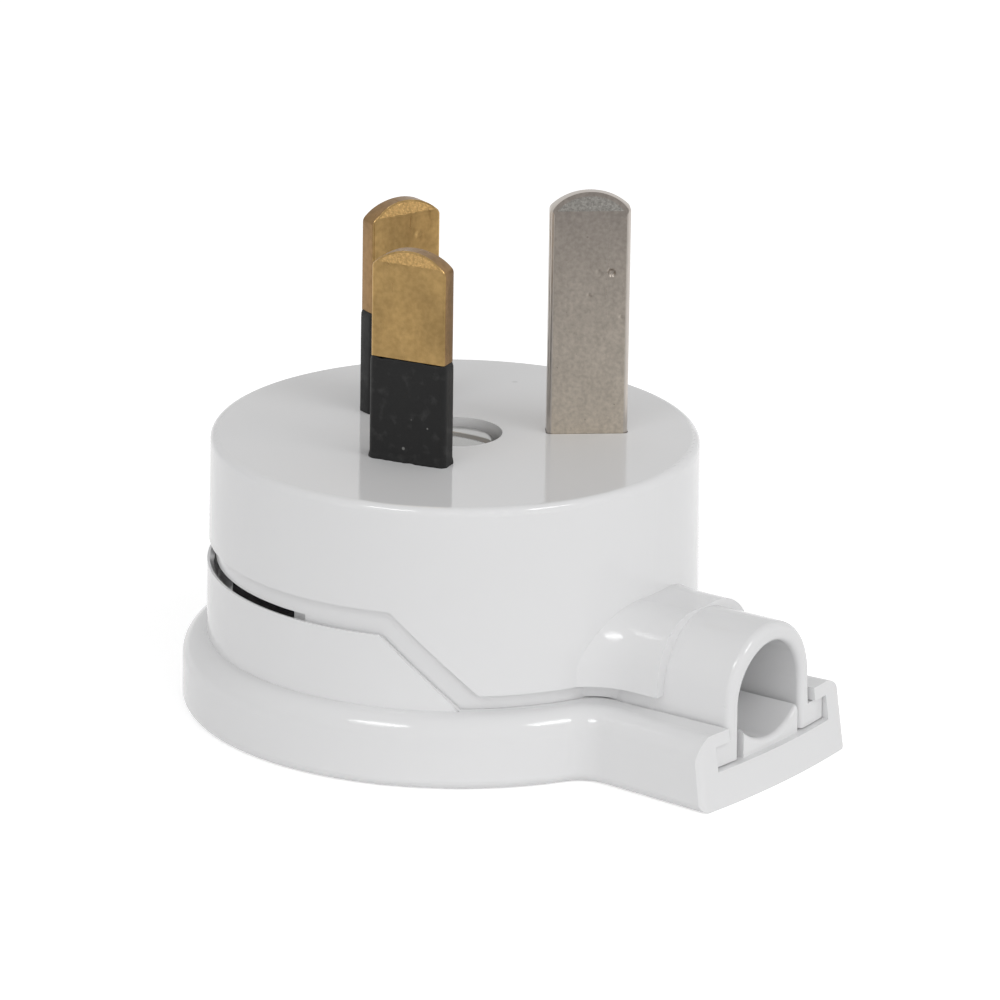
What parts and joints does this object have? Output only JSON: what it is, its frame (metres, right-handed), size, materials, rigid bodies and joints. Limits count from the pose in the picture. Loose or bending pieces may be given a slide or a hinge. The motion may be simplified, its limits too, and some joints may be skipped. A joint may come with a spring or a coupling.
{
  "type": "angled plug",
  "caption": "Rewirable angled mains plug with flat pins, a round white body and a cord outlet at the side.",
  "frame": {"origin": "on the plug's axis, in the plane of its back", "axes": "+Z out along the pins, +X out along the neck that the cord leaves by"},
  "size_m": [0.0528, 0.0426, 0.0418],
  "materials": {
    "housing_plastic": "glossy white moulding",
    "cover_plastic": "glossy white moulding",
    "nickel_plate": "worn nickel plating with small pits",
    "pin_brass": "lightly scratched bare brass",
    "sleeve_plastic": "satin black with fine specks",
    "screw_steel": "zinc-plated steel",
    "terminal_brass": "plain turned and sawn brass",
    "grip_plastic": "satin white"
  },
  "bodies": {
    "root": {"pin_housing": "housing_plastic", "back_cover": "cover_plastic", "earth_pin": "nickel_plate", "active_pin": "pin_brass", "neutral_pin": "pin_brass", "active_sleeve": "sleeve_plastic", "neutral_sleeve": "sleeve_plastic", "assembly_screw": "screw_steel", "threaded_insert": "terminal_brass", "cord_grip": "grip_plastic", "cord_grip_screw_left": "screw_steel", "cord_grip_screw_right": "screw_steel", "earth_terminal": "terminal_brass", "earth_terminal_screw": "screw_steel", "active_terminal": "terminal_brass", "active_terminal_screw": "screw_steel", "neutral_terminal": "terminal_brass", "neutral_terminal_screw": "screw_steel"}
  },
  "joints": []
}
